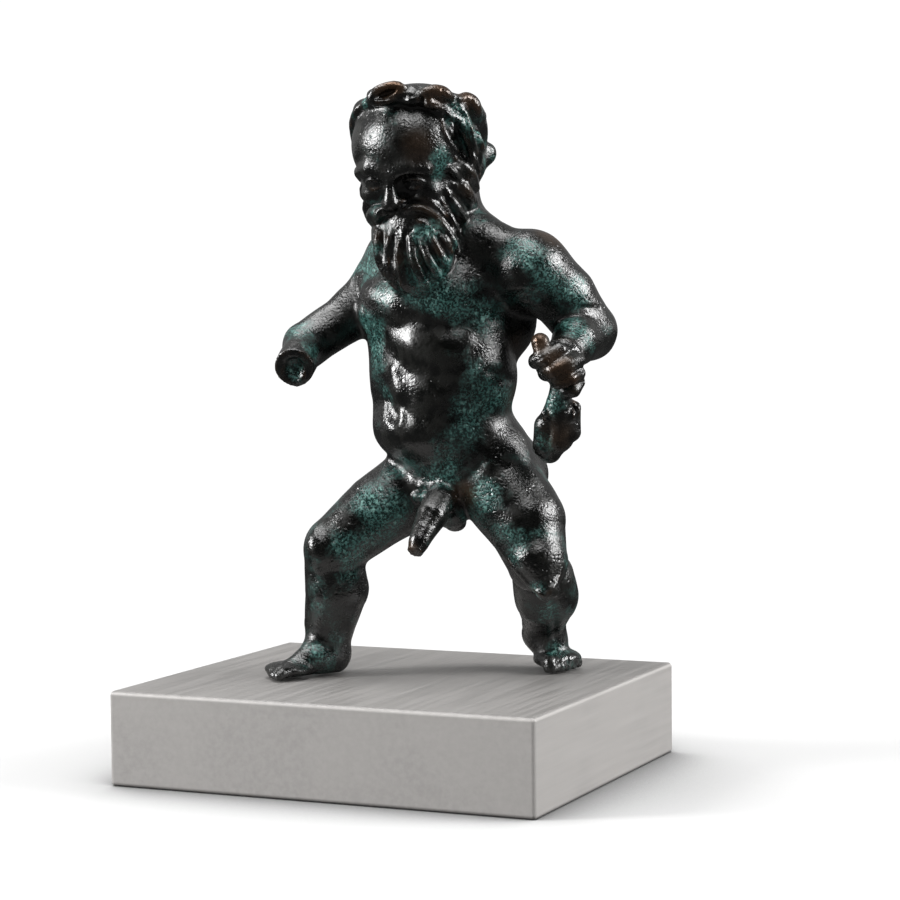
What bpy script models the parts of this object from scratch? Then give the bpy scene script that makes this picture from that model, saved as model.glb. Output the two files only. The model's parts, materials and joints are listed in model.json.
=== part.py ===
"""A silenus figurine of patinated bronze on a small block of frosted acrylic.

The figurine is one casting. It is modelled as clay on a grid of distances: round forms are added to and
cut from the grid, and the surface is taken where the distance is zero. Its places are in shares of its
height, 95 units from the soles to the top of the wreath, with x to the right as it is seen from the front,
y away from the viewer and z up. Each body part has a frame of its own, turned to the viewer's left.
"""
import math
import bmesh
import bpy
import numpy as np
import openvdb
from mathutils import Matrix

FIGURE_HEIGHT = 0.095
FIGURE_UNITS = 95.0
FIGURE_TURN = 24.3
GRID_STEP = 0.62
FIGURE_TRIANGLES = 8600

BLOCK_WIDTH = 0.072
BLOCK_DEPTH = 0.060
BLOCK_HEIGHT = 0.015
BLOCK_EDGE_RADIUS = 0.0007
STAND_GAP = 0.0003

BRONZE = {"name": "patinated_bronze", "colour": (0.035, 0.034, 0.026, 1), "metallic": 0.8, "roughness": 0.38}
ACRYLIC = {"name": "frosted_acrylic", "colour": (0.42, 0.40, 0.38, 1), "metallic": 0.0, "roughness": 0.45}

FAR = 9.0
SIDES = (-1, 1)


class Frame:
    """The place and turn of a body part: x to its own left, y to its back, z up."""

    def __init__(self, origin, yaw=0.0, pitch=0.0, roll=0.0):
        turn = Matrix.Rotation(math.radians(-yaw), 3, "Z")
        turn = turn @ Matrix.Rotation(math.radians(pitch), 3, "X")
        turn = turn @ Matrix.Rotation(math.radians(roll), 3, "Y")
        self.origin = np.array(origin, float)
        self.turn = np.array(turn)

    def at(self, x, y, z):
        return self.origin + self.turn @ np.array((x, y, z), float)

    def path(self, places):
        return [self.at(*place) for place in places]

    def tilted(self, place, yaw=0.0, pitch=0.0, roll=0.0):
        inner = Frame(self.at(*place), yaw, pitch, roll)
        inner.turn = self.turn @ inner.turn
        return inner


BODY = Frame((0, 0, 0))
PELVIS = Frame((10.8, 3, 33), yaw=47)
BELLY = Frame((6.8, 2.6, 46), yaw=44)
CHEST = Frame((6.8, 3.2, 60), yaw=38, pitch=5, roll=-8)
HEAD = Frame((3.2, -3.5, 84.5), yaw=25, pitch=24)
BEARD = Frame((3.1, -5.2, 0), yaw=28)
WREATH = Frame((4.1, -1.7, 89.3), yaw=28, pitch=-18)
RIGHT_FOOT = Frame((-13.5, 1.7, 0), yaw=58)
LEFT_FOOT = Frame((24.8, 5.4, 0), yaw=-32)


class Form:
    def __init__(self, low, high, distance):
        self.low = np.asarray(low, float)
        self.high = np.asarray(high, float)
        self.distance = distance


def egg(frame, place, radii, yaw=0.0, pitch=0.0, roll=0.0):
    """An ellipsoid with its radii along its own axes."""
    own = frame.tilted(place, yaw, pitch, roll)
    radii = np.array(radii, float)
    reach = np.sqrt(own.turn**2 @ radii**2)

    def distance(points):
        local = (points - own.origin) @ own.turn
        outer = np.maximum(np.linalg.norm(local / radii, axis=1), 1e-3)
        slope = np.maximum(np.linalg.norm(local / radii**2, axis=1), 1e-3 / radii.min())
        return outer * (outer - 1) / slope

    return Form(own.origin - reach, own.origin + reach, distance)


def rope(places, radii):
    """A round bar through places, its radius changing evenly from each to the next."""
    places = np.array(places, float)
    radii = np.broadcast_to(np.array(radii, float), len(places))

    def distance(points):
        nearest = np.full(len(points), FAR)
        for start, end, first, last in zip(places[:-1], places[1:], radii[:-1], radii[1:]):
            along = end - start
            share = np.clip((points - start) @ along / max(along @ along, 1e-9), 0, 1)
            gap = np.linalg.norm(points - start - share[:, None] * along, axis=1)
            nearest = np.minimum(nearest, gap - first - share * (last - first))
        return nearest

    thick = radii[:, None]
    return Form((places - thick).min(0), (places + thick).max(0), distance)


def drum(start, end, radius):
    """A round bar with flat ends."""
    start = np.array(start, float)
    end = np.array(end, float)
    middle = (start + end) / 2
    half = np.linalg.norm(end - start) / 2
    axis = (end - start) / (2 * half)

    def distance(points):
        along = (points - middle) @ axis
        out = np.linalg.norm(points - middle - along[:, None] * axis, axis=1)
        return np.maximum(out - radius, np.abs(along) - half)

    return Form(np.minimum(start, end) - radius, np.maximum(start, end) + radius, distance)


def bend(knots, count):
    """Places evenly spaced on the smooth curve through knots."""
    knots = np.array(knots, float)
    padded = np.vstack([2 * knots[0] - knots[1], knots, 2 * knots[-1] - knots[-2]])
    places = []
    for share in np.linspace(0, len(knots) - 1, count):
        i = min(int(share), len(knots) - 2)
        t = share - i
        a, b, c, d = padded[i:i + 4]
        cubic = 3 * b - a - 3 * c + d
        places.append(b + 0.5 * ((c - a) * t + (2 * a - 5 * b + 4 * c - d) * t**2 + cubic * t**3))
    return np.array(places)


class Clay:
    """Space as a grid of distances to the surface, less than zero inside it."""

    def __init__(self, low, high, step):
        self.step = step
        self.low = np.array(low, float)
        self.axes = [np.arange(a, b, step) for a, b in zip(low, high)]
        self.field = np.full([len(axis) for axis in self.axes], FAR, np.float32)

    def around(self, form, margin):
        ends = zip(self.axes, form.low - margin, form.high + margin)
        picks = tuple(slice(*np.searchsorted(axis, (low, high))) for axis, low, high in ends)
        grid = np.meshgrid(*[axis[pick] for axis, pick in zip(self.axes, picks)], indexing="ij")
        points = np.stack(grid, -1).reshape(-1, 3)
        return picks, form.distance(points).reshape(grid[0].shape)

    def add(self, form, melt=1.0):
        picks, new = self.around(form, melt + 2)
        old = self.field[picks]
        share = np.maximum(1 - np.abs(old - new) / melt, 0)
        self.field[picks] = np.minimum(old, new) - share**2 * melt / 4

    def cut(self, form, melt=0.5):
        picks, new = self.around(form, melt + 2)
        old = self.field[picks]
        share = np.maximum(1 - np.abs(old + new) / melt, 0)
        self.field[picks] = np.maximum(old, -new) + share**2 * melt / 4

    def trim_below(self, height):
        self.field = np.maximum(self.field, (height - self.axes[2]).astype(np.float32))

    def surface(self):
        """The points and four-sided faces of the largest closed surface, without pockets inside it."""
        grid = openvdb.FloatGrid(FAR)
        grid.copyFromArray(self.field)
        points, quads = grid.convertToQuads(0.0)
        points = self.low + np.array(points, float) * self.step
        group = np.arange(len(points))
        while True:
            joined = group.copy()
            np.minimum.at(joined, quads, group[quads].min(axis=1, keepdims=True))
            joined = joined[joined]
            if np.array_equal(joined, group):
                break
            group = joined
        main = np.bincount(group).argmax()
        kept = group == main
        number = np.cumsum(kept) - 1
        return points[kept], number[quads[kept[quads[:, 0]]]]


def model_torso(clay):
    clay.add(egg(CHEST, (0, 0, 0), (13.8, 10, 12.5)))
    clay.add(egg(BELLY, (0, 0, 2), (12.4, 10.2, 12)), 4)
    clay.add(egg(BELLY, (0, -3.0, 1.0), (10.0, 8.0, 6.6)), 1.5)
    clay.add(egg(BELLY, (0, -2.8, -6.0), (10.0, 8.2, 6.4)), 1.5)
    clay.add(egg(PELVIS, (0, 0.3, 2.2), (12, 9.4, 8.6)), 3)
    clay.add(egg(PELVIS, (0, -5.6, -0.6), (7.5, 4.2, 3.6)), 1.2)
    clay.add(egg(CHEST, (0, 1, 9), (12, 7.5, 5)), 3)
    for side in SIDES:
        clay.add(egg(PELVIS, (5.2 * side, 5.2, -1.5), (6.2, 6.2, 7)), 1.5)
        clay.add(egg(CHEST, (5.0 * side, -6.0, -0.4), (6.0, 4.8, 5.4)), 1.2)
        clay.add(egg(CHEST, (7.0 * side, 6.6, 3.5), (4.6, 3.6, 6), roll=8 * side), 2.5)
    clay.cut(rope(CHEST.path([(0, 11.2, 8), (0, 11.2, -4), (0, 10.6, -14)]), 0.9), 2.5)
    clay.cut(egg(BELLY, (-0.4, -11.3, -3.0), (0.8, 1.6, 1.5)), 0.8)


def model_neck(clay):
    clay.add(rope([(8.4, 4.0, 68), (6.4, 0, 78)], (6.4, 6.0)), 3)
    for side in SIDES:
        clay.add(rope(CHEST.path([(3 * side, 1.6, 12.6), (12 * side, 0.6, 7.6)]), (4.2, 4.0)), 2.5)


def model_legs(clay):
    clay.add(rope([(5.2, 6.2, 31.2), (-2.8, 3.2, 26.4), (-9.8, 1, 20.8)], (7.0, 6.0, 4.9)), 1.5)
    clay.add(rope([(-10.4, 1.4, 20.2), (-10.0, 2.8, 13.8), (-11.2, 3.6, 8), (-11.5, 3.8, 4.4)],
                  (4.6, 5.2, 4.1, 3.6)), 1.2)
    clay.add(egg(BODY, (-12.4, -0.6, 20.2), (2.5, 3.4, 3.6)), 0.8)
    clay.add(rope([(15.8, -1, 31.4), (20.4, -5, 25), (22.2, -7.6, 18.8)], (7.2, 6.4, 4.9)), 1.5)
    clay.add(rope([(22.3, -9, 19), (23.5, -11, 14.9)], (4.2, 2.0)), 1)
    clay.add(rope([(23.2, -3, 15.6), (23.8, 0, 12.6), (23.6, 4.5, 8.4), (23.6, 6.8, 5.8)], (4.9, 5.2, 3.7, 3.4)), 0.4)


def model_foot(clay, frame, side, reach, lift, thick):
    """Side is 1 for the right foot, whose great toe is on its own left."""
    sole = 1.6 * thick
    ankle_to_toe = [(0, 3.4, 2.5 + lift), (0.2 * side, 0, 2.8 + lift / 2), (0.3 * side, 3.8 - reach, sole)]
    clay.add(rope(frame.path(ankle_to_toe), (2.7, 2.9, sole)), 1.5)
    clay.add(egg(frame, (-0.4 * side, 4.2 - reach, sole), (4.2, 3.4, sole)), 1)
    for toe in range(5):
        x = (2.8 - 1.6 * toe) * side
        y = 0.26 * toe**1.6 - reach
        radius = (1.2 if toe == 0 else 0.95) * thick
        places = [(x * 0.85, y + 3.4, sole), (x, y + 1.6, 1.4 * thick), (x, y + radius, 0.75 * thick)]
        clay.add(rope(frame.path(places), radius), 0.3)


def model_loins(clay):
    clay.add(rope([(7.4, -5.4, 29.6), (5.6, -9, 26.4), (3.6, -12, 22.8)], (2.3, 2.5, 1.6)), 0.8)
    clay.add(drum((4.2, -11.2, 24), (2.8, -13.2, 21), 1.35), 1)
    clay.add(egg(BODY, (8.6, -2.6, 26.6), (2.9, 2.6, 2.8)), 0.8)
    clay.add(egg(BODY, (9.3, -1.4, 24.6), (1.7, 1.5, 1.4)), 0.4)
    for column in range(5):
        for row in range(2):
            place = (-5 + 2.3 * column + 1.1 * row, -9.0 + 0.3 * (column - 2)**2, -2.2 - 1.9 * row)
            clay.add(egg(PELVIS, place, (1.1, 0.9, 1.0)), 0.3)


def model_arms(clay):
    clay.add(egg(BODY, (-2.2, 10.6, 63.0), (5.6, 5.8, 6.0)), 2)
    clay.add(rope([(-2.8, 10.4, 62.8), (-9.0, 7.6, 57.6), (-14.6, 5, 53.2)], (5.0, 4.0, 3.8)), 1.5)
    clay.add(drum((-14.6, 5, 53.0), (-16.0, -3.6, 49.6), 3.2), 1.5)
    clay.cut(egg(BODY, (-16.1, -4.2, 49.4), (1.9, 1.6, 1.9)), 0.4)
    clay.add(egg(BODY, (21.6, -5.2, 65.6), (6.0, 6.4, 6.4)), 2)
    clay.add(rope([(22, -5, 65.2), (26.8, -2.6, 60.4), (30.6, 0, 55)], (5.8, 5.1, 4.7)), 1.5)
    clay.add(rope([(30.6, 0, 54.8), (28.4, -6.6, 53.4), (26.6, -11, 51.4)], (4.5, 3.9, 2.9)), 1)


def model_hand(clay):
    clay.add(egg(BODY, (25.6, -12.4, 50.0), (3.6, 3.0, 3.0)), 1)
    clay.add(rope([(24.2, -13.4, 50.6), (23.0, -14.2, 52.0), (22.7, -13.8, 53.5)], (1.3, 1.3, 1.4)), 0.4)
    clay.add(rope([(25.6, -14.4, 52.2), (23.4, -15.2, 51.0), (22.0, -13.8, 50.6)], (1.3, 1.3, 1.2)), 0.3)
    clay.add(rope([(28.4, -12.8, 50.6), (26.8, -15.2, 50.2), (24.6, -15.4, 49.2), (23.6, -13.8, 48.8)], 1.35), 0.3)
    clay.add(rope([(28.6, -12.6, 48.6), (27.2, -14.8, 48.0), (25.4, -14.6, 47.4)], 1.2), 0.3)
    clay.add(rope([(28.6, -12.2, 47.2), (27.8, -13.4, 46.0), (26.8, -13.0, 45.8)], 1.1), 0.3)


def model_wineskin(clay):
    clay.add(rope([(26, -11.6, 47.4), (25.6, -11.0, 43.6)], (1.6, 1.9)), 0.4)
    clay.add(rope([(25.6, -10.6, 43.8), (25.4, -9.6, 41.8)], (2.0, 2.6)), 0.3)
    clay.add(rope([(26.0, -9.0, 41.2), (25.6, -8.4, 38.4), (24.8, -7.8, 37.2)], (2.8, 3.1, 2.6)), 0.5)
    clay.add(rope([(23.9, -9, 40.2), (23.5, -8.2, 37.4)], (2.2, 2.2)), 0.5)
    clay.add(rope([(27.9, -9.6, 42.6), (27.4, -9.2, 39.4)], (1.2, 1.7)), 0.3)
    for fold in range(4):
        x = 23.6 + 1.25 * fold
        clay.add(egg(BODY, (x, -12.0 + 0.25 * (fold - 1.5)**2, 42.2), (0.8, 0.7, 0.9)), 0.2)


def model_head(clay):
    clay.add(egg(HEAD, (0, 0.6, 0.4), (9.0, 11.0, 9.2)), 1)
    clay.add(egg(HEAD, (0, -3.2, 2.0), (8.0, 7.9, 6.6)), 1.5)
    clay.add(egg(HEAD, (0, -3.6, -5.4), (7.8, 6.8, 9)), 2)
    clay.add(rope(HEAD.path([(0, -10.6, -1.6), (0, -12.0, -5.2)]), (1.0, 1.3)), 0.8)
    clay.add(egg(HEAD, (0, -11.9, -5.6), (1.9, 1.2, 1.0)), 0.6)
    for side in SIDES:
        clay.add(rope(HEAD.path([(1.4 * side, -10.9, -0.4), (6.4 * side, -8.8, -0.2)]), (1.2, 0.9)), 1)
        clay.cut(egg(HEAD, (3.8 * side, -10.9, -2.8), (2.3, 1.9, 1.3)), 0.8)
        clay.add(egg(HEAD, (3.6 * side, -9.2, -2.9), (1.5, 1.1, 1.0)), 0.3)
        clay.add(egg(HEAD, (4.8 * side, -8.0, -5.8), (2.3, 1.8, 1.8)), 1)


def model_ears(clay):
    for side in SIDES:
        rim = [(8.4, -2.6, 6.8), (9.5, -1.3, 4.5), (10.4, -0.4, 2.2), (10.7, -0.3, -0.6), (9.8, -0.2, -4.0)]
        rim = [(x * side, y, z) for x, y, z in rim]
        clay.add(egg(HEAD, (9.0 * side, -0.9, 1.0), (1.9, 2.0, 5.6)), 0.6)
        clay.cut(egg(HEAD, (10.2 * side, -3.0, 0.9), (1.8, 2.1, 4.6)), 0.3)
        clay.add(rope(HEAD.path(bend(rim, 9)), (0.45, 0.65, 0.75, 0.8, 0.8, 0.8, 0.8, 0.75, 0.7)), 0.3)


def model_beard(clay):
    clay.add(egg(HEAD, (0, -5.2, -9.6), (7.2, 5.4, 5.0)), 1.5)
    clay.add(egg(HEAD, (0, -9.6, -9.2), (1.9, 1.2, 0.9)), 0.5)
    clay.add(rope(BEARD.path([(0, -0.2, 71), (0, -2.8, 65)]), (5.2, 2.8)), 1.5)
    for lock in range(9):
        turn = math.radians(-82 + 22 * lock)
        tip = 61.9 + 5.2 * ((lock - 4.8) / 3)**2
        places = []
        for share, reach in ((0, 5.6), (0.3, 6.4), (0.65, 6.1), (1, 4.6)):
            place = (reach * math.sin(turn), -reach * math.cos(turn) - 1.8 * share, 71.6 - (71.6 - tip) * share)
            places.append(place)
        clay.add(rope(BEARD.path(places), (0.9, 1.3, 1.25, 0.8)), 0.2)
    for side in SIDES:
        whisker = [(0.8, -11.0, -7.0), (5.0, -9.7, -7.2), (7.1, -7.5, -9.6), (7.5, -6.2, -13.4), (7.0, -6.4, -15.8)]
        whisker = [(x * side, y, z) for x, y, z in whisker]
        clay.add(rope(HEAD.path(bend(whisker, 9)), (0.8, 1.1, 1.3, 1.4, 1.35, 1.2, 1.1, 0.9, 0.6)), 0.3)
        for x, y, z, drop in ((8.5, -3.2, -2.9, 5.6), (8.0, -4.6, -4.6, 6.2), (7.6, -5.8, -7.0, 6.2)):
            lock = [(x, y, z), (x + 0.9, y + 1.8, z - drop * 0.4), (x + 1.2, y + 4.2, z - drop)]
            lock = [(a * side, b, c) for a, b, c in lock]
            clay.add(rope(HEAD.path(bend(lock, 5)), (0.7, 1.1, 1.25, 1.1, 0.7)), 0.3)


def model_wreath(clay):
    turns = np.radians(np.arange(0, 361, 12))
    clay.add(rope([WREATH.at(9.2 * math.sin(t), -10.2 * math.cos(t), 0) for t in turns], 1.3), 0.5)
    for turn in range(-165, 181, 15):
        t = math.radians(turn)
        place = (9.5 * math.sin(t), -10.5 * math.cos(t), 0.5 * (-1)**(turn // 15))
        clay.add(egg(WREATH, place, (2.2, 0.9, 1.1), yaw=-turn), 0.3)
    clay.add(egg(WREATH, (-0.4, -10.4, 0.7), (3.0, 1.7, 1.9)), 0.5)
    clay.cut(egg(WREATH, (-0.4, -12.3, 0.7), (1.7, 0.9, 1.1)), 0.3)
    for turn, size in ((44, 1.7), (88, 2.0), (114, 2.0), (-76, 1.4), (-120, 1.8), (-150, 1.8), (165, 1.8)):
        t = math.radians(turn)
        place = (9.7 * math.sin(t), -10.7 * math.cos(t), 0)
        clay.add(egg(WREATH, place, (size * 1.2, size * 0.9, size), yaw=-turn), 0.4)
    clay.add(egg(BODY, (13.6, 2.5, 83.6), (1.8, 1.9, 1.9)), 0.8)
    clay.add(egg(BODY, (11.8, 1.5, 81.8), (2.6, 4, 3.4)), 1.5)


def sculpt(step):
    clay = Clay((-24, -22, -1.5), (40, 22, 99), step)
    model_torso(clay)
    model_neck(clay)
    model_legs(clay)
    model_foot(clay, RIGHT_FOOT, 1, 9.2, 0, 0.75)
    model_foot(clay, LEFT_FOOT, -1, 5.2, 2.6, 1.05)
    model_loins(clay)
    model_arms(clay)
    model_wineskin(clay)
    model_hand(clay)
    model_head(clay)
    model_ears(clay)
    model_beard(clay)
    model_wreath(clay)
    clay.trim_below(0)
    return clay


def material(look):
    made = bpy.data.materials.new(look["name"])
    made.use_nodes = True
    shader = made.node_tree.nodes["Principled BSDF"]
    shader.inputs["Base Color"].default_value = look["colour"]
    shader.inputs["Metallic"].default_value = look["metallic"]
    shader.inputs["Roughness"].default_value = look["roughness"]
    return made


def link(name, mesh, look):
    piece = bpy.data.objects.new(name, mesh)
    bpy.context.scene.collection.objects.link(piece)
    mesh.materials.append(material(look))
    return piece


def make_block():
    mesh = bpy.data.meshes.new("base_block")
    shape = bmesh.new()
    bmesh.ops.create_cube(shape, size=1)
    bmesh.ops.scale(shape, verts=shape.verts, vec=(BLOCK_WIDTH, BLOCK_DEPTH, BLOCK_HEIGHT))
    bmesh.ops.translate(shape, verts=shape.verts, vec=(0, 0, BLOCK_HEIGHT / 2))
    bmesh.ops.bevel(shape, geom=shape.edges[:], offset=BLOCK_EDGE_RADIUS, segments=3, profile=0.5,
                    affect="EDGES")
    shape.to_mesh(mesh)
    shape.free()
    return link("base_block", mesh, ACRYLIC)


def make_figure():
    points, quads = sculpt(GRID_STEP).surface()
    mesh = bpy.data.meshes.new("silenus_figure")
    mesh.from_pydata(points * FIGURE_HEIGHT / FIGURE_UNITS, [], quads.tolist())
    figure = link("silenus_figure", mesh, BRONZE)
    thin = figure.modifiers.new("Fewer faces", "DECIMATE")
    thin.ratio = FIGURE_TRIANGLES / (2 * len(quads))
    figure.rotation_euler.z = math.radians(FIGURE_TURN)
    figure.location.z = BLOCK_HEIGHT + STAND_GAP
    mesh.shade_smooth()
    return figure


for old in list(bpy.data.objects):
    bpy.data.objects.remove(old)
make_block()
make_figure()
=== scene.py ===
"""The silenus figurine with its patina, on its block of frosted acrylic, in a plain pale studio."""
import json
import math
import bmesh
import bpy
import numpy as np
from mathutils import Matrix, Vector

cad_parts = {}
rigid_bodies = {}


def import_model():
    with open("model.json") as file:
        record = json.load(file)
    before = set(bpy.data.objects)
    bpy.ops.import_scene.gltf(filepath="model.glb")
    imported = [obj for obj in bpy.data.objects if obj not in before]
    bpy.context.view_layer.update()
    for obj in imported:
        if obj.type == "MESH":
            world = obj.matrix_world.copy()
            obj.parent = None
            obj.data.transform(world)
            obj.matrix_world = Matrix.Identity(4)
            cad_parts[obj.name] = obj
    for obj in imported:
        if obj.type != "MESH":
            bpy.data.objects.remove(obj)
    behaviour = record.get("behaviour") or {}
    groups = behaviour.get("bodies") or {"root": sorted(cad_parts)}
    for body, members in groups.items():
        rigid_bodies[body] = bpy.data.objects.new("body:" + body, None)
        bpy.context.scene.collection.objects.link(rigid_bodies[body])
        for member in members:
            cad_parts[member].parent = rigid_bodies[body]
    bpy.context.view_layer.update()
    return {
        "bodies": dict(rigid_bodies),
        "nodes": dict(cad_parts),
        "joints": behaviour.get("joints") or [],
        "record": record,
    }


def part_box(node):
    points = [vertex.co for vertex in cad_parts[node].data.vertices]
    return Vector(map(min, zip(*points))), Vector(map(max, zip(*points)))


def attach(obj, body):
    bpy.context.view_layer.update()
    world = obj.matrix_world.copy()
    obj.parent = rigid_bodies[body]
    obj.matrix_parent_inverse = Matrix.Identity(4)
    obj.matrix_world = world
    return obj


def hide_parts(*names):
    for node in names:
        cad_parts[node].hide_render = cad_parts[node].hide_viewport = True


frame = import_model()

import openvdb
from mathutils import Matrix, Vector

# Lengths and places in metres.
FIGURE_HEIGHT = 0.0944
BLOCK_EDGE_RADIUS = 0.0007
LIGHT_DISTANCE = 0.8
LIT_POINT = Vector((0, 0, 0.06))
CAMERA_PLACE = Vector((0.176326, -0.369461, 0.076729))
CAMERA_RIGHT = Vector((0.91150, 0.41116, -0.01027))
CAMERA_UP = Vector((-0.01604, 0.06050, 0.99804))
CAMERA_AHEAD = Vector((-0.41098, 0.90955, -0.06174))
TOWARD_CAMERA = (0.411, -0.910, 0.062)

# How bright the floor and the room look where they are plain white.
SEEN_WHITE = 1.05

# The figure is FIGURE_UNITS high in units of its own, with x to the viewer's right, y away and z up,
# and is turned by FIGURE_TURN degrees on the block.
FIGURE_UNITS = 94.4
FIGURE_TURN = 24.3
FIGURE_TRIANGLES = 190000
GRID_STEP = 0.26

# Marks are laid on the surface along straight lines from VIEWPOINT, each line starting MARK_RISE units
# in front of the plane y = 0.
VIEWPOINT = np.array((8.7, -409.3, 61.4))
MARK_RISE = 24
MARK_STEPS = 60

# Patches of the patina: a mark as x and z, how far the patch reaches, and its strength.
TEAL = (
    ((-3.6, 66.6), 4.0, 1.0), ((-7.8, 66.6), 3.0, 1.0), ((-0.9, 62.1), 3.2, 0.9), ((-3.8, 55.6), 3.6, 1.0),
    ((-3.3, 50.1), 3.4, 1.0), ((4.0, 60.8), 3.6, 0.9), ((-1.7, 45.6), 2.0, 0.6), ((8.0, 57.9), 2.6, 0.5),
    ((12.5, 60.1), 4.0, 0.6),
    ((16.1, 56.4), 3.0, 0.5), ((8.8, 52.0), 2.6, 0.4), ((12.9, 48.5), 3.2, 0.45), ((8.8, 44.3), 2.6, 0.35),
    ((12.2, 42.7), 4.0, 0.6), ((10.3, 37.8), 4.0, 0.65), ((6.4, 33.9), 3.6, 0.9), ((1.6, 34.3), 2.6, 0.8),
    ((16.1, 44.3), 2.6, 0.4), ((-15.4, 55.6), 3.0, 0.7), ((-13.3, 52.4), 2.0, 0.5), ((-16.3, 49.0), 1.8, 1.0),
    ((22.5, 66.6), 4.0, 0.6), ((25.8, 62.5), 3.4, 0.7), ((29.3, 61.7), 2.6, 0.7), ((19.3, 68.5), 3.0, 0.7),
    ((20.9, 60.4), 2.6, 0.6), ((28.5, 55.6), 2.6, 0.6), ((30.9, 53.0), 2.2, 0.5), ((25.1, 43.6), 2.4, 0.8),
    ((23.0, 37.8), 2.4, 0.5), ((-6.5, 89.5), 1.6, 0.8), ((-4.6, 91.6), 1.4, 0.7), ((0.0, 90.8), 2.4, 0.4),
    ((10.0, 89.9), 2.2, 1.0), ((12.5, 87.6), 2.0, 0.8), ((14.0, 86.0), 1.4, 0.7), ((-6.7, 81.8), 1.4, 0.6),
    ((7.5, 82.1), 2.4, 0.6), ((6.7, 79.5), 2.0, 0.5), ((9.0, 74.3), 1.6, 0.5), ((6.4, 71.8), 2.0, 0.9),
    ((4.0, 70.5), 1.6, 0.8), ((10.0, 69.2), 1.4, 0.8), ((8.5, 65.6), 2.0, 1.0), ((6.4, 62.5), 2.0, 0.9),
    ((-2.6, 68.5), 1.4, 0.8), ((-1.3, 31.0), 3.0, 0.6), ((-4.9, 28.1), 2.6, 0.9), ((0.0, 26.5), 3.0, 0.6),
    ((-2.3, 23.3), 3.0, 0.8), ((-6.5, 20.0), 2.6, 0.7), ((-9.7, 20.7), 2.6, 0.5), ((-14.2, 18.4), 2.2, 0.5),
    ((-13.0, 14.9), 2.4, 0.4), ((-8.1, 16.5), 2.2, 0.6), ((4.0, 29.4), 1.8, 0.5), ((14.1, 28.1), 2.6, 0.8),
    ((12.9, 24.6), 2.2, 0.7), ((16.1, 22.9), 2.2, 0.6), ((19.3, 21.7), 2.6, 0.5), ((23.5, 23.3), 2.2, 0.6),
    ((18.7, 18.4), 2.0, 0.6), ((21.9, 13.6), 2.0, 0.9), ((24.0, 10.0), 2.2, 0.6), ((-13.3, 4.5), 1.4, 0.5),
    ((25.1, 3.9), 1.6, 0.6), ((-11.3, 2.3), 2.0, 0.3),
)
BROWN = (
    ((-1.0, 93.9), 1.7, 1.0), ((0.8, 94.1), 1.2, 0.8), ((7.4, 93.1), 2.2, 0.9), ((11.9, 92.6), 1.6, 0.8),
    ((13.5, 90.5), 1.6, 0.5), ((4.8, 74.5), 1.6, 0.3), ((7.5, 72.4), 1.4, 0.2), ((11.6, 76.9), 1.6, 0.3),
    ((12.5, 79.8), 1.2, 0.2), ((-2.3, 70.1), 1.2, 0.3), ((0.9, 66.6), 1.4, 0.2), ((4.1, 66.3), 1.4, 0.2),
    ((7.4, 68.2), 1.2, 0.3), ((22.5, 53.5), 1.8, 1.0), ((25.8, 49.6), 2.2, 0.8), ((28.0, 46.7), 1.8, 0.8),
    ((25.1, 70.1), 2.6, 0.5), ((1.7, 20.2), 1.4, 0.8), ((10.9, 28.9), 2.0, 0.8), ((4.0, 84.7), 2.4, 0.35),
    ((19.3, 52.4), 2.6, 0.3), ((18.7, 45.1), 2.4, 0.3), ((25.8, 37.8), 2.6, 0.3),
)
SMOOTH = (
    ((4.8, 52.4), 4.5, 0.9), ((1.6, 51.4), 3.0, 0.7), ((4.0, 44.6), 3.6, 0.8), ((-3.0, 43.0), 2.0, 0.4),
    ((1.9, 37.8), 4.5, 0.5), ((-4.9, 86.3), 1.6, 0.3), ((4.0, 24.9), 2.6, 0.6),
)

# The distance to the surface that stands for any greater one.
FAR = 9.0
SIDES = (-1, 1)


class Frame:
    """The place and turn of a body part: x to its own left, y to its back, z up."""

    def __init__(self, origin, yaw=0.0, pitch=0.0, roll=0.0):
        turn = Matrix.Rotation(math.radians(-yaw), 3, "Z")
        turn = turn @ Matrix.Rotation(math.radians(pitch), 3, "X")
        turn = turn @ Matrix.Rotation(math.radians(roll), 3, "Y")
        self.origin = np.array(origin, float)
        self.turn = np.array(turn)

    def at(self, x, y, z):
        return self.origin + self.turn @ np.array((x, y, z), float)

    def path(self, places):
        return [self.at(*place) for place in places]

    def tilted(self, place, yaw=0.0, pitch=0.0, roll=0.0):
        inner = Frame(self.at(*place), yaw, pitch, roll)
        inner.turn = self.turn @ inner.turn
        return inner


BODY = Frame((0, 0, 0))
PELVIS = Frame((10.8, 3, 33), yaw=47)
BELLY = Frame((7.5, 2.6, 46), yaw=44)
CHEST = Frame((6.8, 3.2, 60), yaw=38, pitch=5, roll=-8)
HEAD = Frame((3.4, -3.5, 84.5), yaw=25, pitch=24)
BEARD = Frame((4.3, -5.0, 0), yaw=26)
RIGHT_FOOT = Frame((-13.5, 1.7, 0), yaw=58)
LEFT_FOOT = Frame((24.8, 5.4, 0), yaw=-32)


class Form:
    """A simple body, from its lowest to its highest corner, with the distance of points to its surface."""

    def __init__(self, low, high, distance):
        self.low = np.asarray(low, float)
        self.high = np.asarray(high, float)
        self.distance = distance


def egg(frame, place, radii, yaw=0.0, pitch=0.0, roll=0.0):
    """An ellipsoid with its radii along its own axes."""
    own = frame.tilted(place, yaw, pitch, roll)
    radii = np.array(radii, float)
    reach = np.sqrt(own.turn**2 @ radii**2)

    def distance(points):
        local = (points - own.origin) @ own.turn
        outer = np.maximum(np.linalg.norm(local / radii, axis=1), 1e-3)
        slope = np.maximum(np.linalg.norm(local / radii**2, axis=1), 1e-3 / radii.min())
        return outer * (outer - 1) / slope

    return Form(own.origin - reach, own.origin + reach, distance)


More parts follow.
